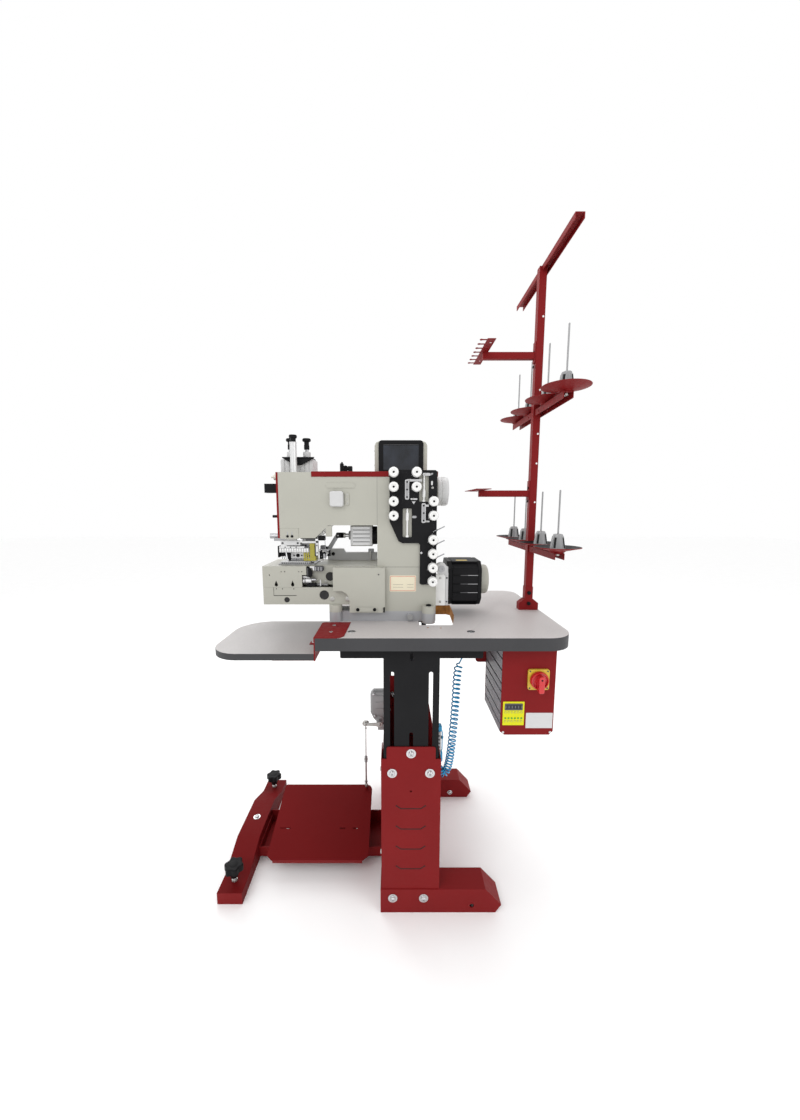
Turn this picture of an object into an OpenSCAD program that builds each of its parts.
// Waistband sewing machine: a multi-needle cylinder-bed head on a
// height-adjustable stand, with table, thread stand, control box and treadle.
// +X is the operator's right, +Y is away from the operator, +Z is up.
// The origin is on the floor, under the middle of the whole machine.

/* [Table] */
// Width of the table top
table_w = 681; // [640:1:760]
// Depth of the table top, front to back
table_d = 590; // [560:1:640]
// Thickness of the table top
table_t = 35; // [25:1:40]
// Height of the working surface above the floor
table_z = 840; // [800:1:900]
// Radius of the table's front right corner
corner_front = 72; // [20:1:90]
// Radius of the table's rear right corner
corner_rear = 50; // [20:1:90]
// Thickness of the left extension board
ext_t = 18; // [12:1:22]
// Drop from the table surface to the extension surface
ext_drop = 42; // [38:1:60]

/* [Stand] */
// Width of the outer columns
col_w = 167; // [150:1:190]
// Height of the outer columns' side walls
col_h = 483; // [440:1:500]
// Depth of each outer column's side walls
col_d = 80; // [60:1:90]
// Distance from the front column to the rear column
col_gap = 470; // [420:1:500]
// Sheet thickness of the stand
sheet = 3; // [2:0.5:4]
// Clearance each side between the inner and outer columns
slide_gap = 4.5; // [1:0.5:6]
// Height of the feet
foot_h = 76; // [60:1:84]
// Depth of the feet
foot_d = 72; // [60:1:78]
// How far the feet reach to the right of the columns
foot_reach = 182; // [140:1:220]
// Width of the side bar on the left
bar_w = 75; // [60:1:90]
// Length of the side bar
bar_l = 500; // [440:1:520]
// Diameter of the washers on the stand
washer_d = 27; // [20:1:30]

/* [Treadle] */
// Width of the treadle plate
treadle_w = 327; // [280:1:340]
// Depth of the treadle plate
treadle_d = 268; // [240:1:280]
// Tilt of the treadle plate at rest
treadle_tilt = 15.2; // [10:0.1:16]

/* [Control box] */
// Width of the control box
box_w = 147; // [130:1:160]
// Height of the control box
box_h = 259; // [220:1:280]
// Depth of the control box
box_d = 190; // [150:1:210]

/* [Thread stand] */
// Height of the thread stand's post above the table
post_h = 1039; // [940:1:1060]
// Width across the square post
post_w = 22; // [20:1:30]
// Length of the spool rails
rail_l = 443; // [430:1:520]
// Diameter of the spool discs
disc_d = 125; // [100:1:128]
// Distance between the spool pins beside the post, and their outer neighbours
pin_step = 129; // [129:1:150]
// Length of a spool pin above its rail
pin_l = 170; // [120:1:200]

/* [Sewing head] */
// Height of the head from its base plate to the top of the arm
head_h = 403; // [380:1:420]
// Depth of the head's column
head_d = 190; // [160:1:200]
// Depth of the arm and of the cylinder bed
bed_d = 162; // [150:1:170]
// Length of the arm to the left of the column
arm_l = 281; // [260:1:300]
// Length of the cylinder bed to the left of the column
bed_l = 336; // [320:1:350]
// Thickness of the base plate under the head
base_t = 30; // [20:1:36]
// Wall thickness of the castings
wall = 8; // [6:1:10]
// Radius of the handwheel
wheel_r = 43; // [36:1:48]

/* [Hidden] */
$fn = 48;

// Small step that makes cuts run clear of the faces they cut
eps = 0.5;
// Clearance between parts that move past each other
run = 0.3;

// Table
table_x = 142.5;
table_left = table_x - table_w / 2;
table_right = table_x + table_w / 2;
table_front = -table_d / 2;
table_under = table_z - table_t;
notch_y = -148;
notch_w = 17;
plug_pts = [[216, -239], [-108, -238]];

// Columns
col_x = 54.5;
col_left = col_x - col_w / 2;
col_right = col_x + col_w / 2;
col_front = table_front + 30;
inner_w = col_w - 2 * sheet - 2 * slide_gap;
inner_front = col_front + sheet + run;
inner_low = 250;
inner_flange = 60;
tongue_w = 136;
tongue_h = 36;
col_low = foot_h;
arm_w = 384;
arm_drop = 32;
slot_w = 11;
slot_top = 735;
slot_low = 300;
mid_slot_top = 560;
mid_slot_low = 350;
bolt_x = 52.7;
bolt_z = 441;
mid_bolt_z = 500;
foot_left = col_left - 3;
foot_right = col_right + foot_reach;
foot_front = col_front - 2;
wheel_x = col_right + 96;
axle_z = 22;
panel_top = 460;
tab_w = 24;
tab_bolt = 14;
tab_top = 400;
tab_bolts = [150, 380];
drop_front = foot_front + foot_d + 8;
drop_back = foot_front + col_gap - 8;

// Side bar and cross beam
bar_right = -445;
bar_left = bar_right - bar_w;
bar_y = 7;
bar_low = 37;
bar_high = 76;
bar_flat = 84;
bar_ramp = 100;
knob_y = 208;
beam_front = -88;
beam_d = 150;
beam_z = 12;

// Treadle
pivot_y = -53;
pivot_z = 66;
shaft_r = 6;
treadle_x = -238.5;
treadle_t = 3;
treadle_front = -(treadle_d + 40) / 3;
treadle_back = treadle_front + treadle_d;
lug_rise = 17;
lug_x = treadle_w / 2 - 22;
lug_back = treadle_back - 15;
lug_h = 6;
link_x = treadle_x + lug_x;
link_y = pivot_y + cos(treadle_tilt) * lug_back - sin(treadle_tilt) * (treadle_t + lug_h);
link_low = pivot_z + lug_rise + sin(treadle_tilt) * lug_back + cos(treadle_tilt) * (treadle_t + lug_h) + 2.2;
link_r = 3;
sensor_y = link_y + 32;
sensor_z = 387;
lever_l = col_left - 16 - link_x;
eye_r = 3.6;

// Control box
box_x = 375.5;
box_front = table_front + 45;
box_left = box_x - box_w / 2;
box_low = table_under - box_h;
cover_t = 3;
switch_x = box_x + 25;
switch_z = box_low + 164;

// Thread stand
post_x = 448;
post_y = 4;
post_front = post_y - post_w / 2;
sleeve_t = 1.5;
sleeve_h = 77;
rail_x = post_x + 6.5;
rail_w = 27;
rail_h = 18;
top_rail_w = 24;
top_rail_l = 467;
top_rail_h = 15;
top_rail_x = post_x + 8;
top_rail_z = table_z + post_h - top_rail_h + 2;
upper_rail_z = 1453;
lower_rail_z = 1033;
upper_arm_z = 1631;
lower_arm_z = 1217;
guide_x = 277;
mid_pin = post_w / 2 + disc_d / 2 + 1;
pins = [-mid_pin - pin_step, -mid_pin, mid_pin, mid_pin + pin_step];
disc_rise = 15;
cone_h = 44;

// Air hose: its coils' outside diameter and the route of their centre line
hose_od = 26;
hose_x = 206;
hose_y = -155;
hose_top = 790;
hose_path = [[206, -155, 790], [206, -155, 760], [204, -155, 730], [197, -155, 700], [194, -155, 660],
    [193, -155, 620], [191, -155, 580], [189, -155, 540], [186, -155, 500], [183, -155, 460],
    [179, -155, 420], [174, -155, 390], [167, -155, 368], [158, -155, 360], [151, -155, 368],
    [149, -155, 385], [149, -155, 404]];

// Head
head_front = -137;
col_l = -41;
col_r = 130;
head_low = table_z + base_t;
arm_top = head_low + head_h;
arm_under = arm_top - 150;
arm_left = col_l - arm_l;
nose_low = arm_under - 37;
nose_r = -221;
bed_left = col_l - bed_l;
bed_top = head_low + 134;
bed_under = head_low + 20;
bed_split = head_low + 71;
plate_l = -6;
recess_l = -262;
recess_r = -169;
shaft_z = head_low + 352;
shaft_y = -55;
needle_x = -272;
needle_y = -50;
foot_x = needle_x + 24;
foot_y = needle_y - 30;
step_l = -122;
cover_l = -227;
boss_r = 19;
rail_back = head_front + bed_d - 22;
tube_pts = [[-282, head_front + 27], [-301.5, head_front + 74], [-253, head_front + 74]];
boss_pts = [[-165, -135], [108, -151], [-120, 45], [108, 45]];

// Outline helpers
module rrect(w, h, r) {
    union() {
        square([w - 2 * r, h], center = true);
        square([w, h - 2 * r], center = true);
        for (x = [-1, 1], y = [-1, 1])
            translate([x * (w / 2 - r), y * (h / 2 - r)]) circle(r = r);
    }
}

module rslot(w, z0, z1) {
    translate([0, z0 + w / 2]) circle(r = w / 2);
    translate([0, z1 - w / 2]) circle(r = w / 2);
    translate([-w / 2, z0 + w / 2]) square([w, z1 - z0 - w]);
}

// An X-Z outline whose front face lies at y
module facing(y, t) {
    translate([0, y + t, 0]) rotate([90, 0, 0]) linear_extrude(t) children();
}

// A Y-Z outline whose left face lies at x
module sideways(x, t) {
    translate([x, 0, 0]) rotate([90, 0, 90]) linear_extrude(t) children();
}

module rod_x(x, y, z, r, l) {
    translate([x, y, z]) rotate([0, 90, 0]) cylinder(r = r, h = l);
}

module rod_y(x, y, z, r, l) {
    translate([x, y, z]) rotate([-90, 0, 0]) cylinder(r = r, h = l);
}

module rod_z(x, y, z, r, l) {
    translate([x, y, z]) cylinder(r = r, h = l);
}

// A screw that faces the operator: washer, domed head, hex socket and shank
module front_screw(x, y, z, wash, head, shank, length) {
    difference() {
        union() {
            rod_y(x, y - 3, z, wash / 2, 3);
            rod_y(x, y - 3 - head * 0.45, z, head / 2, head * 0.45 + eps);
        }
        translate([x, y - 3 - head * 0.45 - eps, z]) rotate([-90, 0, 0])
            cylinder(r = head * 0.24, h = head * 0.4, $fn = 6);
    }
    rod_y(x, y - eps, z, shank / 2, length);
}

// Feet
module foot_outline(inset) {
    polygon([[foot_left + inset, -inset], [foot_right - 17 - inset * 0.6, -inset],
        [foot_right - inset, 25], [foot_right - 47 - inset, foot_h - inset],
        [foot_left + inset, foot_h - inset]]);
}

module foot(y, hole) {
    difference() {
        facing(y, foot_d) foot_outline(0);
        facing(y + sheet, foot_d - 2 * sheet) foot_outline(sheet);
        for (x = [-51, 38.5]) rod_y(col_x + x, y - eps, 48, 4.5, sheet + 2 * eps);
        rod_y(wheel_x, y - eps, axle_z, hole, foot_d + 2 * eps);
    }
}

module front_foot() {
    color("firebrick") foot(foot_front, 6.5);
}

module rear_foot() {
    color("firebrick") foot(foot_front + col_gap, 5);
}

// Outer columns: a folded channel that opens to the rear, with a tongue at the top
module outer_column(y) {
    difference() {
        union() {
            facing(y, sheet) difference() {
                union() {
                    translate([col_left, col_low]) square([col_w, col_h - col_low]);
                    translate([col_x, col_h + tongue_h / 2 - 10]) rrect(tongue_w, tongue_h + 20, 6);
                }
                for (x = [-bolt_x, bolt_x]) translate([col_x + x, bolt_z]) circle(r = 5);
                translate([col_x, mid_bolt_z]) circle(r = 5);
                translate([col_x, 385]) circle(r = 3);
                for (i = [0:3]) translate([col_x, 332 - 63.5 * i]) louvre();
            }
            for (x = [col_left, col_right - sheet])
                translate([x, y + sheet - 0.01, col_low]) cube([sheet, col_d - sheet, col_h - col_low]);
        }
        children();
    }
}

// One louvre slit, with both ends turned up
module louvre() {
    translate([-28, -1]) square([56, 2]);
    for (s = [-1, 1]) translate([s * 28, 0]) rotate([0, 0, s * 36]) translate([s > 0 ? -1 : -15, -1])
        square([16, 2]);
}

module front_outer_column() {
    color("firebrick") outer_column(col_front)
        for (z = [150, 420]) rod_x(col_left - eps, col_front + 50, z, 4, col_w + 2 * eps);
}

module rear_outer_column() {
    color("firebrick") outer_column(col_front + col_gap)
        for (s = [-1, 1], z = tab_bolts)
            rod_y(col_x + s * (col_w / 2 - 1.5 * sheet - tab_bolt), col_front + col_gap - eps, z, 4,
                sheet + 1);
}

// Plates that tie the front and rear columns together on each side
module side_panels() {
    back = col_front + col_gap;
    color("firebrick") for (s = [-1, 1]) {
        x = s < 0 ? col_left + sheet : col_right - 2 * sheet;
        sideways(x, sheet) difference() {
            polygon([[col_front + sheet + 1, col_low], [drop_front, col_low], [drop_front, beam_z],
                [drop_back, beam_z], [drop_back, col_low], [back, col_low], [back, panel_top],
                [col_front + sheet + 1, panel_top]]);
            for (z = [150, 420]) translate([col_front + 50, z]) circle(r = 4);
        }
        difference() {
            translate([s < 0 ? x : x + sheet - tab_w, back - sheet, col_low])
                cube([tab_w, sheet, tab_top - col_low]);
            for (z = tab_bolts)
                rod_y(x + sheet / 2 - s * tab_bolt, back - sheet - eps, z, 4, sheet + 2 * eps);
        }
    }
}

// A shallow tray that carries the treadle between the columns and the side bar
module cross_beam() {
    left = bar_right;
    right = col_left + sheet;
    color("firebrick") difference() {
        union() {
            translate([left, beam_front, beam_z]) cube([right - left, beam_d, sheet]);
            translate([left, beam_front, beam_z]) cube([right - left, sheet, 33]);
            translate([left, beam_front + beam_d - sheet, beam_z]) cube([right - left, sheet, 48]);
            translate([left, beam_front, beam_z]) cube([sheet, beam_d, 33]);
            translate([right - sheet, beam_front, beam_z]) cube([sheet, beam_d, 33]);
        }
        for (x = [-1, 1], y = [-20, 20])
            rod_z(treadle_x + x * 120, pivot_y + y, beam_z - eps, 4, sheet + 2 * eps);
    }
}

// Left side bar: an inverted channel with a raised middle
module bar_outline(inset) {
    h = bar_l / 2 - inset;
    polygon([[-h, -inset], [-h, bar_low - inset], [-bar_flat - bar_ramp + inset * 0.2, bar_low - inset],
        [-bar_flat + inset * 0.2, bar_high - inset], [bar_flat - inset * 0.2, bar_high - inset],
        [bar_flat + bar_ramp - inset * 0.2, bar_low - inset], [h, bar_low - inset], [h, -inset]]);
}

module side_bar() {
    color("firebrick") difference() {
        sideways(bar_left, bar_w) translate([bar_y, 0]) bar_outline(0);
        sideways(bar_left + sheet, bar_w - 2 * sheet) translate([bar_y, 0]) bar_outline(sheet);
        for (s = [-1, 1]) rod_z(bar_left + bar_w / 2, bar_y + s * knob_y, 0, 6.3, bar_low + eps);
        rod_z(bar_left + bar_w / 2, bar_y, bar_high - sheet - eps, 5, sheet + 2 * eps);
    }
}

module stand_bolts() {
    color("gainsboro") {
        for (y = [0, col_gap]) {
            for (x = [-bolt_x, bolt_x])
                front_screw(col_x + x, col_front + y, bolt_z, washer_d, 15, 8, 16);
            front_screw(col_x, col_front + y, mid_bolt_z, washer_d, 15, 8, 16);
            for (x = [-51, 38.5]) front_screw(col_x + x, foot_front + y, 48, washer_d, 15, 8, 12);
        }
        for (z = [150, 420]) {
            rod_x(col_left - 5, col_front + 50, z, 6, 5);
            rod_x(col_left - 1, col_front + 50, z, 3.5, 2 * sheet + 1.5);
            rod_x(col_right, col_front + 50, z, 6, 5);
            rod_x(col_right - 2 * sheet - 0.5, col_front + 50, z, 3.5, 2 * sheet + 1.5);
        }
        for (z = tab_bolts, s = [-1, 1]) {
            x = col_x + s * (col_w / 2 - 1.5 * sheet - tab_bolt);
            rod_y(x, col_front + col_gap - sheet - 5, z, 6, 5);
            rod_y(x, col_front + col_gap - sheet - 1, z, 3.5, 2 * sheet + 1);
        }
        front_screw(wheel_x, foot_front + col_gap, axle_z, 20, 13, 8, foot_d + 8);
        rod_z(bar_left + bar_w / 2, bar_y, bar_high, 12, 2);
        rod_z(bar_left + bar_w / 2, bar_y, bar_high + 1, 7, 6);
        rod_z(bar_left + bar_w / 2, bar_y, bar_high - 12, 4, 14);
    }
}

// Wheel inside the rear foot that rolls when the stand is tipped back
module transport_wheel() {
    color("dimgray") difference() {
        rod_y(wheel_x, foot_front + col_gap + 20, axle_z, axle_z - run, foot_d - 40);
        rod_y(wheel_x, foot_front + col_gap + 20 - eps, axle_z, 4.05, foot_d - 40 + 2 * eps);
    }
}

// Star knob on a threaded spindle that stands on the floor
module levelling_knob(y) {
    x = bar_left + bar_w / 2;
    difference() {
        union() {
            rod_z(x, y, 72, 23, 24);
            for (a = [0:60:300]) rotate_about(x, y, a) translate([x + 20.5, y, 72]) cylinder(r = 8.5, h = 24);
            translate([x, y, 52]) cylinder(r1 = 11, r2 = 18, h = 20.1);
        }
        translate([x, y, 92]) cylinder(r = 12, h = 5);
    }
    rod_z(x, y, 12, 6, 41);
    rod_z(x, y, 0, 13, 12.1);
}

module rotate_about(x, y, a) {
    translate([x, y, 0]) rotate([0, 0, a]) translate([-x, -y, 0]) children();
}

module front_levelling_knob() {
    color("black") levelling_knob(bar_y - knob_y);
}

module rear_levelling_knob() {
    color("black") levelling_knob(bar_y + knob_y);
}

// Treadle: two bearing blocks and the shaft that the plate rocks on
module treadle_hinge() {
    color("silver") {
        for (s = [-1, 1]) difference() {
            union() {
                translate([treadle_x + s * 120 - 15, pivot_y - 32, beam_z + sheet]) cube([30, 64, 5]);
                sideways(treadle_x + s * 120 - 4, 8) difference() {
                    union() {
                        translate([pivot_y - 14, beam_z + sheet]) square([28, pivot_z - beam_z - sheet]);
                        translate([pivot_y, pivot_z]) circle(r = 14);
                    }
                    translate([pivot_y, pivot_z]) circle(r = shaft_r);
                }
            }
            for (y = [-20, 20]) rod_z(treadle_x + s * 120, pivot_y + y, beam_z, 3.2, 12);
        }
        rod_x(treadle_x - 124, pivot_y, pivot_z, shaft_r, 248);
    }
}

// Treadle plate with a front lip, cut corners, slots and the lugs it hangs on
module treadle_plate() {
    half = treadle_w / 2;
    front = treadle_front;
    back = treadle_back;
    color("firebrick") {
        translate([treadle_x, pivot_y, pivot_z + lug_rise]) rotate([treadle_tilt, 0, 0]) {
            linear_extrude(treadle_t) difference() {
                union() {
                    polygon([[-half, front + 14], [-half + 18, front], [half - 18, front],
                        [half, front + 14], [half, back - 22], [half - 22, back],
                        [-half + 8, back], [-half, back - 8]]);
                    translate([half - 22, back - 22]) circle(r = 22);
                    translate([-half + 8, back - 8]) circle(r = 8);
                }
                for (x = [-134, -116, 70, 113]) translate([x - 8.5, -2]) square([17, 4]);
            }
            translate([-half + 20, front, -12]) cube([treadle_w - 40, 3, 13]);
            translate([lug_x, lug_back, treadle_t - 0.1]) cylinder(r = 6, h = lug_h);
        }
        for (s = [-1, 1]) sideways(treadle_x + s * 100 - 3, 6) difference() {
            translate([pivot_y, pivot_z]) union() {
                circle(r = 13);
                rotate([0, 0, treadle_tilt]) translate([-12, 0]) square([24, lug_rise + 1]);
            }
            translate([pivot_y, pivot_z]) circle(r = shaft_r + 0.05);
        }
    }
}

// Rod that links the treadle to the sensor
module treadle_rod() {
    color("silver") {
        rod_z(link_x, link_y, link_low, 6, 12);
        rod_z(link_x, link_y, link_low + 11, link_r, 90);
        rod_z(link_x, link_y, link_low + 100, 5.5, 22);
        rod_z(link_x, link_y, link_low + 121, link_r - 1, sensor_z - link_low - 129);
        facing(link_y - 4, 8) difference() {
            translate([link_x, sensor_z]) rrect(24, 18, 8);
            translate([link_x, sensor_z]) rrect(2 * eye_r + 8, 2 * eye_r, eye_r - 0.01);
        }
    }
}

// Cast speed sensor bolted to the left side panel
module treadle_sensor() {
    right = col_left + sheet;
    left = right - 56;
    color("lightgray") difference() {
        union() {
            facing(sensor_y - 12, 34) difference() {
                union() {
                    polygon([[left + 10, 500], [right, 500], [right, 345], [left + 30, 345],
                        [left + 26, 370], [left + 12, 385], [left, 410], [left, 486]]);
                }
                translate([left + 14, 488]) circle(r = 4.5);
                translate([left + 18, 402]) circle(r = 4.5);
            }
            rod_y(left + 36, sensor_y - 18, 455, 17, 10);
        }
        rod_y(link_x + lever_l, sensor_y - 13, sensor_z, 6.05, 20);
    }
}

// Lever on the sensor's shaft, with its tip inside the rod's eye
module sensor_lever() {
    color("silver") {
        rod_y(link_x + lever_l, sensor_y - 44, sensor_z, 6, 44);
        facing(sensor_y - 44, 6) {
            translate([link_x + lever_l, sensor_z]) circle(r = 11);
            translate([link_x, sensor_z - 4]) square([lever_l, 8]);
            translate([link_x, sensor_z]) circle(r = 6);
        }
        rod_y(link_x, sensor_y - 39, sensor_z, 3, 14);
    }
}

// Inner columns: a T-shaped folded front with clamping slots
module inner_column(y) {
    difference() {
        union() {
            facing(y, sheet) difference() {
                union() {
                    translate([col_x - inner_w / 2, inner_low]) square([inner_w, table_under - inner_low]);
                    translate([col_x, table_under - arm_drop / 2]) rrect(arm_w, arm_drop, 4);
                    translate([col_x - arm_w / 2, table_under - 10]) square([arm_w, 10]);
                }
                for (x = [-bolt_x, bolt_x]) translate([col_x + x, 0]) rslot(slot_w, slot_low, slot_top);
                translate([col_x, 0]) rslot(slot_w, mid_slot_low, mid_slot_top);
                translate([col_x, 0]) rslot(9, table_under - 39, table_under - 16);
            }
            for (x = [col_x - inner_w / 2, col_x + inner_w / 2 - sheet])
                translate([x, y + sheet - 0.01, inner_low])
                    cube([sheet, inner_flange - sheet, table_under - inner_low]);
            translate([col_x - arm_w / 2, y, table_under - sheet]) cube([arm_w, inner_flange, sheet]);
        }
        for (x = [-1, 1])
            rod_z(col_x + x * (arm_w / 2 - 24), y + 36, table_under - sheet - eps, 3.5, sheet + 1);
    }
}

module front_inner_column() {
    color([0.09, 0.09, 0.09]) inner_column(inner_front);
}

module rear_inner_column() {
    color([0.09, 0.09, 0.09]) inner_column(inner_front + col_gap);
}

// Table top with the drive cut-out
module table_outline() {
    difference() {
        union() {
            translate([table_left, table_front]) square([table_w - corner_front, table_d]);
            translate([table_left, table_front + corner_front])
                square([table_w, table_d - corner_front - corner_rear]);
            translate([table_right - corner_front, table_front + corner_front])
                circle(r = corner_front, $fn = 96);
            translate([table_right - corner_rear, -table_front - corner_rear])
                circle(r = corner_rear, $fn = 96);
            translate([table_right - corner_front, 0]) square([corner_front - corner_rear, table_d / 2]);
        }
        polygon([[80, -179], [171, -179], [177, -173], [194, -80], [199, 52], [187, 64], [80, 64]]);
        translate([table_left - 1, notch_y]) square([notch_w + 1, table_d]);
    }
}

module table_top() {
    color("lightgray") difference() {
        translate([0, 0, table_under]) linear_extrude(table_t) table_outline();
        for (p = [[102, -203], [138, -206]]) rod_z(p[0], p[1], table_z - 12, 3, 13);
        for (p = plug_pts) rod_z(p[0], p[1], table_z - 8, 11, 9);
    }
}

// Z-shaped bracket that hangs the extension board below the table's left edge
module extension_bracket() {
    web = table_left - sheet;
    color("firebrick") difference() {
        union() {
            translate([0, 0, table_z]) linear_extrude(2)
                polygon([[web, table_front - 1], [web + 58, table_front - 1], [web + 70, table_front + 4],
                    [web + 78, table_front + 16], [web + 82, notch_y - 8], [web + 7, notch_y - 8],
                    [web, notch_y - 14]]);
            translate([web, table_front, table_z - ext_drop - ext_t - 2])
                cube([sheet, notch_y - 14 - table_front, ext_drop + ext_t + 4]);
            translate([web - 110, table_front + 4, table_z - ext_drop - ext_t - 2])
                cube([112, notch_y - 20 - table_front, 2]);
            translate([web - 26, table_front + 70, table_z - ext_drop]) cube([28, 22, 2]);
        }
        rod_z(web + 50, table_front + 100, table_z - 1, 3, 4);
    }
}

// Rounded extension board on the left
module extension_board() {
    z = table_z - ext_drop - ext_t;
    right = table_left - sheet;
    left = right - 283;
    color("lightgray") translate([0, 0, z]) linear_extrude(ext_t) union() {
        translate([left + 80, table_front]) square([right - left - 80, 300]);
        translate([left, table_front + 80]) square([right - left, 120]);
        translate([left + 80, table_front + 80]) circle(r = 80, $fn = 96);
        translate([left + 100, table_front + 200]) circle(r = 100, $fn = 96);
    }
}

// Plugs, screws and the hose inlet on the table
module table_hardware() {
    color("silver") {
        for (p = plug_pts) difference() {
            rod_z(p[0], p[1], table_z - 8, 10.9, 8.6);
            rod_z(p[0], p[1], table_z - 5, 8.5, 6);
        }
        for (y = [-250, -190]) rod_z(table_left + 36, y, table_z + 2, 5, 2);
        rod_z(table_left - sheet - 14, table_front + 81, table_z - ext_drop + 2, 6, 4);
        rod_z(hose_x, hose_y, hose_top, 5, table_under - hose_top);
        rod_z(hose_x, hose_y, table_under - 4, 9, 4);
        for (p = boss_pts) rod_z(p[0], p[1], table_z, 5, bed_under - table_z - 4);
    }
}

// Control box
module box_outline(grow) {
    polygon([[box_left - grow, box_low + 9], [box_left + 12, box_low - grow],
        [box_left + box_w - 10, box_low - grow], [box_left + box_w + grow, box_low + 11],
        [box_left + box_w + grow, table_under], [box_left - grow, table_under]]);
}

module control_box_body() {
    color("gray") difference() {
        facing(box_front + cover_t, box_d - 2 * cover_t)
            translate([box_left, box_low + 4]) square([box_w, box_h - 4]);
        facing(box_front + cover_t - eps, box_d - 2 * cover_t + 2 * eps)
            translate([box_left + 4, box_low + 8]) square([box_w - 8, box_h - 12]);
        for (z = [34, 48, 98, 128, 142, 190, 222], x = [box_left - 1, box_left + box_w - 1])
            translate([x, box_front, box_low + z]) cube([2, box_d, 4]);
    }
}

module control_box_cover() {
    color("firebrick") facing(box_front, cover_t) difference() {
        box_outline(0);
        translate([switch_x, switch_z]) circle(r = 12);
    }
}

module control_box_back() {
    y = box_front + box_d - cover_t;
    color("firebrick") facing(y, cover_t) union() {
        box_outline(0.5);
        translate([box_left - 34, box_low + 147]) square([35, box_h - 147]);
        translate([box_left - 24, box_low + 137]) square([25, 12]);
        translate([box_left - 24, box_low + 147]) circle(r = 10);
    }
}

module switch_plate() {
    color("gold") difference() {
        facing(box_front - 6, 6) translate([switch_x, switch_z]) rrect(58, 58, 6);
        rod_y(switch_x, box_front - 7, switch_z, 10.1, 8);
    }
}

// Rotary switch handle, turned to the vertical position
module switch_handle() {
    y = box_front - 6 - run;
    color("red") {
        difference() {
            rod_y(switch_x, y - 12, switch_z, 25, 12);
            rod_y(switch_x, y - 12 - eps, switch_z, 21, 8);
        }
        rod_y(switch_x, y - 13, switch_z, 10, 26);
        facing(y - 26, 22) union() {
            translate([switch_x, switch_z + 11]) circle(r = 8);
            translate([switch_x - 8, switch_z - 22]) square([16, 34]);
            translate([switch_x - 8, switch_z - 34]) square([13, 13]);
        }
    }
}

module keypad() {
    color("yellow") facing(box_front - 1.5, 1.5)
        translate([box_left + 35, box_low + 64]) rrect(59, 69, 3);
    color("whitesmoke") facing(box_front - 0.6, 0.6)
        translate([box_left + box_w - 40, box_low + 43]) square([74, 45], center = true);
}

// Thread stand
module thread_post() {
    color("firebrick") {
        difference() {
            translate([post_x - post_w / 2, post_front, table_z]) cube([post_w, post_w, post_h]);
            translate([post_x - post_w / 2 + 2, post_front + 2, table_z - eps])
                cube([post_w - 4, post_w - 4, post_h - 2 + eps]);
            for (z = [350, 470, 560, 690, 900]) rod_y(post_x + 5.5, post_front - eps, table_z + z, 2.8, 3);
        }
        difference() {
            union() {
                facing(post_front - sleeve_t, post_w + 2 * sleeve_t) polygon([[post_x - 31.5, table_z],
                    [post_x + 31.5, table_z], [post_x + 31.5, table_z + 23], [post_x + 15, table_z + 36],
                    [post_x - 15, table_z + 36], [post_x - 31.5, table_z + 23]]);
                translate([post_x - post_w / 2 - sleeve_t, post_front - sleeve_t, table_z])
                    cube([post_w + 2 * sleeve_t, post_w + 2 * sleeve_t, sleeve_h]);
            }
            translate([post_x - post_w / 2, post_front, table_z - eps]) cube([post_w, post_w, sleeve_h + 1]);
        }
        for (z = [22, 57]) rod_y(post_x, post_front - sleeve_t - 3.5, table_z + z, 6, 4);
    }
}

// A folded rail that opens downwards, carried by the post and parallel to Y
module rail(x, z, w, h, l) {
    difference() {
        translate([x - w / 2, post_y - l / 2, z]) cube([w, l, h]);
        translate([x - w / 2 + 2, post_y - l / 2 - eps, z - eps]) cube([w - 4, l + 2 * eps, h - 2 + eps]);
    }
}

module top_guide_rail() {
    color("firebrick") difference() {
        translate([0, 5, 0]) rail(top_rail_x, top_rail_z, top_rail_w, top_rail_h, top_rail_l);
        translate([post_x - post_w / 2, post_front, top_rail_z - eps])
            cube([post_w, post_w, top_rail_h - 2 + eps]);
        for (y = [-174, -40, 55, 140]) rod_z(top_rail_x - 4, post_y + y, top_rail_z, 3.2, 30);
    }
}

// The spool rails clear the post, which passes through them
module spool_rail(z) {
    difference() {
        rail(rail_x, z, rail_w, rail_h, rail_l);
        translate([post_x - post_w / 2, post_front, z - eps]) cube([post_w, post_w, rail_h + 1]);
        for (y = pins) rod_z(rail_x, post_y + y, z, 4, rail_h + 1);
        for (y = [-1, 1]) rod_x(rail_x - 30, post_y + y * 45, z + 8, 3.5, 60);
    }
}

module spool_rails() {
    color("firebrick") for (z = [upper_rail_z, lower_rail_z]) spool_rail(z);
}

// Shallow dished disc under each thread cone
module spool_disc(x, y, z) {
    translate([x, y, z]) rotate_extrude($fn = 72)
        polygon([[4.05, 0], [17, 0], [22, 6], [disc_d / 2, disc_rise], [disc_d / 2, disc_rise + 1.6], [21, 8],
            [4.05, 8]]);
}

module spool_discs() {
    color("firebrick") for (z = [upper_rail_z, lower_rail_z], y = pins)
        spool_disc(rail_x, post_y + y, z + rail_h);
}

module spool_cones() {
    color("silver") for (z = [upper_rail_z, lower_rail_z], y = pins) difference() {
        translate([rail_x, post_y + y, z + rail_h + 8]) cylinder(r1 = 20, r2 = 13, h = cone_h);
        translate([rail_x, post_y + y, z + rail_h + 7]) cylinder(r = 2.55, h = cone_h + 2);
        for (a = [0:90:270]) translate([rail_x, post_y + y, z + rail_h + 8]) rotate([0, 0, a + 45])
            translate([12.4, -3, 6]) cube([12, 6, cone_h - 14]);
    }
}

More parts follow.
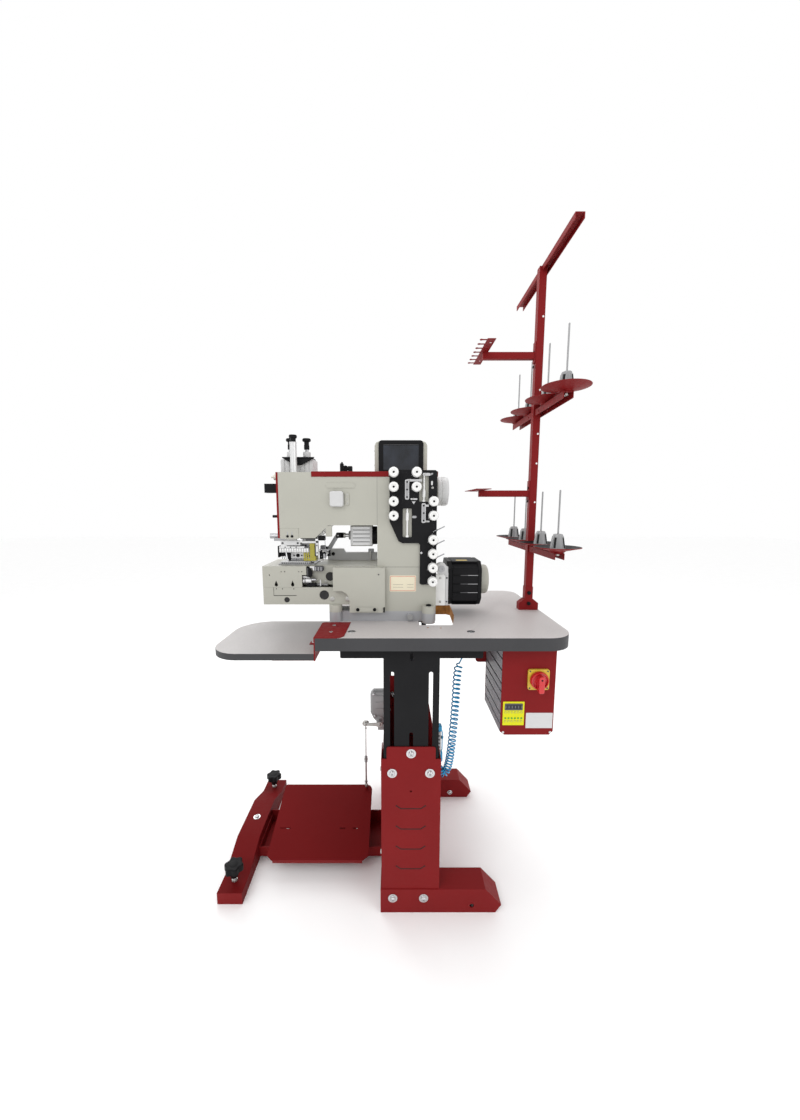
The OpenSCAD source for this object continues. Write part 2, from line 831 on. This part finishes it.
module spool_pins() {
    color("silver") for (z = [upper_rail_z, lower_rail_z], y = pins) {
        rod_z(rail_x, post_y + y, z + rail_h - 8, 2.5, pin_l + 8);
        rod_z(rail_x, post_y + y, z + rail_h - 8, 7, 5.9);
    }
}

// Arm from the post with a comb of thread hooks at its end
module guide_arm(z) {
    arm = post_x - post_w / 2 - guide_x;
    translate([guide_x, post_front + 3, z - 10]) cube([arm, 16, 20]);
    translate([post_x - post_w / 2 - 3, post_front + 1, z - 20]) cube([3, 20, 60]);
    translate([guide_x - 8, post_y - 104, z + 10]) difference() {
        union() {
            cube([24, 208, 2]);
            for (i = [0:6]) translate([-16, 6 + i * 31, 0]) {
                cube([18, 5, 2]);
                translate([0, 2.5, 0]) cylinder(r = 4.5, h = 2);
            }
        }
        for (y = [30, 178]) translate([15, y, -eps]) cylinder(r = 4, h = 3);
    }
}

module guide_arms() {
    color("firebrick") for (z = [upper_arm_z, lower_arm_z]) guide_arm(z);
}

// Head: base plate that the castings bolt to
module base_plate() {
    color("slategray") difference() {
        union() {
            translate([-128, head_front, table_z]) cube([col_r + 128, head_d, base_t]);
            for (p = boss_pts) rod_z(p[0], p[1], table_z, 19, base_t);
            translate([-165, -135, table_z]) cube([40, 60, base_t]);
            translate([108 - 19, -151, table_z]) cube([38, 40, base_t]);
            rod_y(54, head_front - 9, table_z + 14, 10, 12);
        }
        for (p = boss_pts) rod_z(p[0], p[1], table_z - eps, 5.5, base_t + 1);
        translate([-100, head_front + 20, table_z - eps]) cube([200, head_d - 60, base_t - 8]);
    }
}

// The arm and column as one casting, hollow and open at the rear and left
module arm_outline(i) {
    polygon([[arm_left + i, arm_top - i], [col_r - i, arm_top - i], [col_r - i, arm_under - 30],
        [col_l + i, arm_under - 30], [col_l + i, arm_under + i], [nose_r + 39 - i * 0.4, arm_under + i],
        [nose_r - i * 0.4, nose_low + i], [arm_left + i, nose_low + i]]);
}

module column_outline(i) {
    polygon([[col_l + i, arm_top - i], [col_r - i, arm_top - i], [col_r - i, head_low + i],
        [step_l + i, head_low + i], [step_l + i, bed_top - i], [col_l + i, bed_top - i]]);
}

module head_frame() {
    color([0.75, 0.75, 0.68]) difference() {
        union() {
            facing(head_front, bed_d) arm_outline(0);
            facing(head_front, head_d) column_outline(0);
            for (i = [1:3]) rod_z(boss_pts[i][0], boss_pts[i][1], head_low, boss_r, 20);
        }
        facing(head_front + wall, bed_d - 2 * wall) arm_outline(wall);
        facing(head_front + wall, head_d - 2 * wall) column_outline(wall);
        translate([cover_l + wall, head_front + wall, arm_top - wall - eps])
            cube([col_r - cover_l - 2 * wall, bed_d - 2 * wall, wall + 2 * eps]);
        translate([arm_left - eps, head_front + wall, nose_low + wall])
            cube([wall + 2 * eps, bed_d - 2 * wall, arm_top - nose_low - 2 * wall]);
        rod_x(col_r - wall - eps, shaft_y, shaft_z, 9.05, wall + 2 * eps);
        rod_z(needle_x, needle_y, nose_low - eps, 8.05, wall + 2 * eps);
        rod_z(foot_x, foot_y, nose_low - eps, 5.05, wall + 2 * eps);
        for (i = [1:3]) rod_z(boss_pts[i][0], boss_pts[i][1], head_low - eps, 5.5, 26);
    }
}

// Cylinder bed with the looper recess
module bed() {
    color([0.75, 0.75, 0.68]) difference() {
        union() {
            translate([bed_left, head_front, bed_under])
                cube([step_l - bed_left, bed_d, bed_top - bed_under]);
            rod_z(boss_pts[0][0], boss_pts[0][1], head_low, boss_r, bed_under - head_low + 1);
            facing(rail_back, 18) polygon([[-208, bed_top - 1], [step_l, bed_top - 1], [step_l, bed_top],
                [col_l - 7, bed_top], [col_l - 7, bed_top + 25], [-151, bed_top + 25],
                [-157, bed_top + 37], [-208, bed_top + 37]]);
        }
        translate([bed_left + wall, head_front + wall, bed_under + wall])
            cube([step_l - bed_left - 2 * wall, bed_d - 2 * wall, bed_top - bed_under - 2 * wall]);
        translate([bed_left - eps, head_front - eps, bed_split + run])
            cube([recess_r - bed_left + eps, 30, bed_top - bed_split + 1]);
        translate([needle_x - 60, needle_y - 52, bed_top - wall - eps]) cube([99, 92, wall + 1]);
        for (p = [[-198, 48.6, 14], [-308, 34, 8]])
            rod_y(p[0], head_front - eps, head_low + p[1], p[2], 3);
        rod_z(boss_pts[0][0], boss_pts[0][1], head_low - eps, 5.5, bed_under - head_low - 2);
    }
}

module bed_cover() {
    y = head_front;
    color([0.78, 0.78, 0.71]) difference() {
        union() {
            facing(y, 4) difference() {
                polygon([[bed_left, bed_split + 2 * run], [recess_l, bed_split + 2 * run],
                    [recess_l, bed_top - 26], [recess_l + 13, bed_top - 26], [recess_l + 13, bed_top],
                    [bed_left, bed_top]]);
                for (x = [-338, -290]) translate([x, bed_split + 8]) {
                    circle(r = 5);
                    polygon([[-4.5, 2], [4.5, 2], [0, 13]]);
                }
                for (x = [-322, -312, -271, -262]) translate([x, head_low + 118]) circle(r = 1.6);
                translate([-357, head_low + 108]) circle(r = 1.8);
            }
            translate([bed_left, y + 3.9, bed_split + 2 * run]) cube([4, 25, bed_top - bed_split - 1]);
            translate([bed_left, y + 3.9, bed_top - 4]) cube([recess_l + 13 - bed_left, 25, 4]);
        }
    }
}

module needle_plate() {
    color("silver") translate([0, 0, bed_top]) difference() {
        translate([needle_x - 66, needle_y - 57, 0]) cube([108, 120, 3]);
        for (i = [0:11]) translate([needle_x + needle_dx(i) - 1.5, needle_y - 16, -eps]) cube([3, 40, 4]);
        for (x = [-60, 36], y = [-50, 56])
            translate([needle_x + x, needle_y + y, 1.5]) cylinder(r = 3, h = 2);
    }
}

// Place of each needle along the clamp
function needle_dx(i) = i * 7.5 - 46;

// Needle bar, its clamp and a row of needles
module needle_bar() {
    color("silver") {
        rod_z(needle_x, needle_y, nose_low - 42, 8, 130);
        translate([needle_x - 52, needle_y - 12, nose_low - 42]) cube([96, 24, 16]);
        for (i = [0:11]) rod_z(needle_x + needle_dx(i), needle_y, nose_low - 72, 1, 31);
    }
}

// Presser foot on its bar, with the wide guide block above the needle plate
module presser_foot() {
    color("silver") {
        rod_z(foot_x, foot_y, bed_top + 40, 5, 130);
        translate([needle_x - 30, foot_y - 4, bed_top + 24]) cube([62, 8, 40]);
        translate([needle_x - 34, foot_y - 10, bed_top + 4]) cube([70, 18, 21]);
    }
}

module finger_guard() {
    y = head_front + 14;
    color([0.9, 0.85, 0.1, 0.8]) {
        translate([needle_x + 14, y, bed_top + 14]) cube([38, 2.5, 52]);
        translate([needle_x + 50, y, bed_top + 14]) cube([2.5, 40, 52]);
        for (i = [0:3]) translate([needle_x - 8 + i * 6, y, bed_top + 14]) cube([2, 2.5, 28]);
        translate([needle_x - 8, y, bed_top + 14]) cube([30, 2.5, 3]);
    }
    color("silver") {
        translate([needle_x - 2, y - 4, bed_top + 66]) cube([58, 8, 8]);
        translate([needle_x + 53, y - 4, bed_top + 30]) cube([8, 8, 44]);
        translate([needle_x + 26, y - 4, bed_top + 73]) cube([8, 8, nose_low - bed_top - 73]);
    }
}

module top_cover() {
    color("firebrick") difference() {
        translate([cover_l, head_front - 2, arm_top - 13]) cube([col_r - cover_l + 2, bed_d + 4, 15]);
        translate([cover_l - eps, head_front, arm_top - 14]) cube([col_r - cover_l + eps, bed_d, 14]);
        translate([plate_l - 1, head_front - 3, arm_top - 14]) cube([col_r - plate_l + 4, 3, 17]);
        translate([col_l - 1, head_front + bed_d - eps, arm_top - 14]) cube([col_r - col_l + 4, 4, 14]);
    }
}

module face_plate() {
    color("firebrick") translate([arm_left - 6, head_front, nose_low])
        cube([6, bed_d, arm_top - nose_low]);
    color("dimgray") {
        rod_x(arm_left - 26, head_front + 27, nose_low + 62, 4, 20.1);
        translate([arm_left - 46, head_front + 22, arm_top - 57]) cube([40.1, 34, 26]);
        rod_x(arm_left - 30, head_front + 42, arm_top - 11, 3, 24.1);
    }
    color("khaki") rod_x(arm_left - 22, head_front + 42, arm_top - 11, 9, 16.1);
    color("silver") {
        translate([arm_left - 24, head_front + 22, nose_low - 10]) cube([30, 30, 9]);
        rod_x(arm_left - 38, head_front + 37, nose_low + 4, 8, 32.1);
    }
}

module column_cover() {
    y = head_front - 18;
    color([0.8, 0.8, 0.73]) facing(y, 18) difference() {
        polygon([[recess_r, bed_top - 2], [-19, bed_top - 2], [-19, head_low], [-122, head_low],
            [-122, head_low + 34], [-125, head_low + 48], [-133, head_low + 58], [-144, head_low + 64],
            [recess_r, head_low + 64]]);
    }
    color("black") for (x = [-98, -49]) rod_y(x, y - 2, head_low + 10, 5, 2.1);
}

// Black plate that carries the thread tensions
module plate_outline() {
    polygon([[-5.6, head_low + 264], [20, head_low + 208], [32, head_low + 202], [77, head_low + 202],
        [82, head_low + 198], [82, head_low + 84], [86, head_low + 81], [126, head_low + 81],
        [129, head_low + 84], [129, head_low + 404], [124, head_low + 408], [-1, head_low + 408],
        [-5.6, head_low + 404]]);
}

module thread_plate() {
    color([0.12, 0.12, 0.12]) facing(head_front - 7, 7) difference() {
        plate_outline();
        translate([45, head_low + 260]) rrect(26, 82, 3);
        translate([92, head_low + 359]) rrect(27, 78, 3);
    }
}

module thread_guides() {
    y = head_front - 7;
    color("lightgray") {
        facing(y - 3, 3) {
            translate([44, head_low + 354]) rrect(12, 56, 4);
            translate([44, head_low + 376]) square([42, 7]);
            translate([91.5, head_low + 288]) rrect(12, 56, 4);
            translate([92, head_low + 306]) square([14, 6]);
            translate([92, head_low + 262]) square([16, 5]);
            translate([88, head_low + 392]) square([20, 8]);
            translate([101, head_low + 390]) rotate([0, 0, 20]) square([18, 6]);
            translate([54, head_low + 325]) square([19, 5]);
            translate([65, head_low + 277]) rrect(13, 7, 3);
        }
        rod_y(117, y - 4, head_low + 362, 5, 4);
        rod_y(117, y - 4, head_low + 350, 4, 4);
    }
    color("white") {
        rod_z(45, head_front - 5.2, head_low + 219, 2.5, 82);
        rod_z(45, head_front - 5.2, head_low + 262, 5, 20);
        rod_z(92, head_front - 5.2, head_low + 320, 2.5, 78);
        rod_z(92, head_front - 5.2, head_low + 330, 5, 22);
        for (z = [234.5, 194.5, 155.5]) translate([119, y - 1.6, head_low + z]) rotate([0, 64, 0])
            cylinder(r = 1.6, h = 38);
    }
}

// Thread tensions: [x, z] of each
tension_pts = [[6.3, 401], [6.3, 361], [6.3, 321], [6.3, 281], [70.2, 401], [70.2, 361], [118.4, 321],
    [118.4, 281], [118.2, 213], [118.1, 173], [118, 133], [118, 93]];

module tension_knobs() {
    y = head_front - 7;
    color("white") for (p = tension_pts) difference() {
        union() {
            rod_y(p[0], y - 8, head_low + p[1], 11, 8);
            rod_y(p[0], y - 13, head_low + p[1], 14, 5.1);
            rod_y(p[0], y - 30, head_low + p[1], 13.5, 15);
            rod_y(p[0], y - 18, head_low + p[1], 6, 8);
        }
        rod_y(p[0], y - 31, head_low + p[1], 3, 10);
    }
}

module display_panel() {
    color([0.75, 0.75, 0.68]) difference() {
        translate([-50, head_front + 50, arm_top + 2]) cube([155, 50, 92]);
        translate([-36, head_front + 49, arm_top + 6]) cube([127, 6, 84]);
    }
    color([0.1, 0.1, 0.12]) translate([-38, head_front + 46, arm_top + 2]) cube([131, 8, 93]);
}

module handwheel() {
    color("gainsboro") rod_x(col_r + 6, shaft_y, shaft_z, wheel_r, 34);
    color("silver") rod_x(col_l - 210, shaft_y, shaft_z, 9, col_r + 8 - col_l + 210);
}

module motor() {
    color([0.12, 0.12, 0.12]) facing(-103, 135) translate([221.5, 944.5]) rrect(105, 135, 12);
    color([0.75, 0.75, 0.68]) rod_x(273, -35, 948.5, 46, 27);
}

module motor_mount() {
    color("gainsboro") {
        translate([col_r, head_front + 20, head_low + 12]) cube([30, 6, 96]);
        translate([col_r + 30, head_front + 20, head_low + 12]) cube([9, 120, 100]);
        rod_y(col_r + 17.5, head_front + 14, head_low + 124, 17, 30);
    }
}

// Pneumatic cylinder that lifts the presser, in the gap under the arm
module lift_cylinder() {
    color("gainsboro") facing(-75, 60) translate([-92, 1088]) rrect(66, 63, 4);
    color("dimgray") rod_x(-59, -45, 1088, 28, 17.9);
}

module lift_rod() {
    color("silver") {
        rod_x(-165, -45, 1088, 6, 40);
        translate([-172, -55, 1080]) cube([22, 20, 16]);
    }
}

module presser_regulators() {
    z = arm_top;
    color("gainsboro") difference() {
        union() {
            rod_z(tube_pts[0][0], tube_pts[0][1], z, 10, 86);
            translate([-327, head_front + 50, z]) cube([98, 70, 42]);
            for (i = [1, 2]) rod_z(tube_pts[i][0], tube_pts[i][1], z + 41, 11.5, 24);
        }
        for (i = [1, 2]) rod_z(tube_pts[i][0], tube_pts[i][1], z + 20, 5.3, 50);
    }
    color("black") {
        rod_z(tube_pts[0][0], tube_pts[0][1], z + 86, 8, 20);
        translate([0, 0, z + 42]) linear_extrude(3) difference() {
            polygon([[-314, head_front + 44], [-229, head_front + 44], [-232, head_front + 100],
                [-318, head_front + 100]]);
            for (i = [1, 2]) translate(tube_pts[i]) circle(r = 11.6);
        }
    }
}

// Thumb screw that sets a presser spring
module pressure_screw(p) {
    color("black") {
        rod_z(p[0], p[1], arm_top + 22, 5.2, 50.5);
        rod_z(p[0], p[1], arm_top + 71 + run, 8, 26);
        rod_z(p[0], p[1], arm_top + 96, 12, 8);
    }
}

module left_pressure_screw() {
    pressure_screw(tube_pts[1]);
}

module right_pressure_screw() {
    pressure_screw(tube_pts[2]);
}

module air_unit() {
    x = col_right;
    color("gainsboro") translate([x, hose_y - 9, 425]) cube([11, 24, 78]);
    color("dodgerblue") {
        translate([x, hose_y - 8, 503]) cube([14, 20, 18]);
        rod_z(x + 11, hose_y, 404, 7, 20);
        translate([x, hose_y - 5, 424]) cube([17, 10, 10]);
    }
}

// A closed tube along points, with flat ends square to its first and last stretch
function unit(v) = v / norm(v);
function heading(p, i) = unit(p[min(i + 1, len(p) - 1)] - p[max(i - 1, 0)]);
function across(d) = unit(cross(d, [0, 1, 0]));
function ring(p, i, r, n) = [for (k = [0:n - 1]) let (d = heading(p, i), u = across(d), v = cross(d, u))
    p[i] + r * (cos(360 * k / n) * u + sin(360 * k / n) * v)];

module tube_along(p, r, n) {
    m = len(p);
    polyhedron(points = [for (i = [0:m - 1]) each ring(p, i, r, n)],
        faces = concat([[for (k = [0:n - 1]) k]], [[for (k = [n - 1:-1:0]) (m - 1) * n + k]],
            [for (i = [0:m - 2], k = [0:n - 1]) [i * n + k, (i + 1) * n + k, (i + 1) * n + (k + 1) % n]],
            [for (i = [0:m - 2], k = [0:n - 1])
                [i * n + k, (i + 1) * n + (k + 1) % n, i * n + (k + 1) % n]]));
}

module air_hose() {
    color("dodgerblue") tube_along(hose_path, hose_od / 2, 10);
}

front_foot();
rear_foot();
front_outer_column();
rear_outer_column();
side_panels();
cross_beam();
side_bar();
stand_bolts();
front_levelling_knob();
rear_levelling_knob();
transport_wheel();
treadle_hinge();
treadle_plate();
treadle_rod();
treadle_sensor();
sensor_lever();
front_inner_column();
rear_inner_column();
table_top();
extension_bracket();
extension_board();
table_hardware();
control_box_body();
control_box_cover();
control_box_back();
switch_plate();
switch_handle();
keypad();
thread_post();
top_guide_rail();
spool_rails();
spool_discs();
spool_cones();
spool_pins();
guide_arms();
base_plate();
head_frame();
bed();
top_cover();
face_plate();
column_cover();
bed_cover();
needle_plate();
needle_bar();
presser_foot();
finger_guard();
thread_plate();
thread_guides();
tension_knobs();
display_panel();
handwheel();
motor();
motor_mount();
lift_cylinder();
lift_rod();
presser_regulators();
left_pressure_screw();
right_pressure_screw();
air_unit();
air_hose();
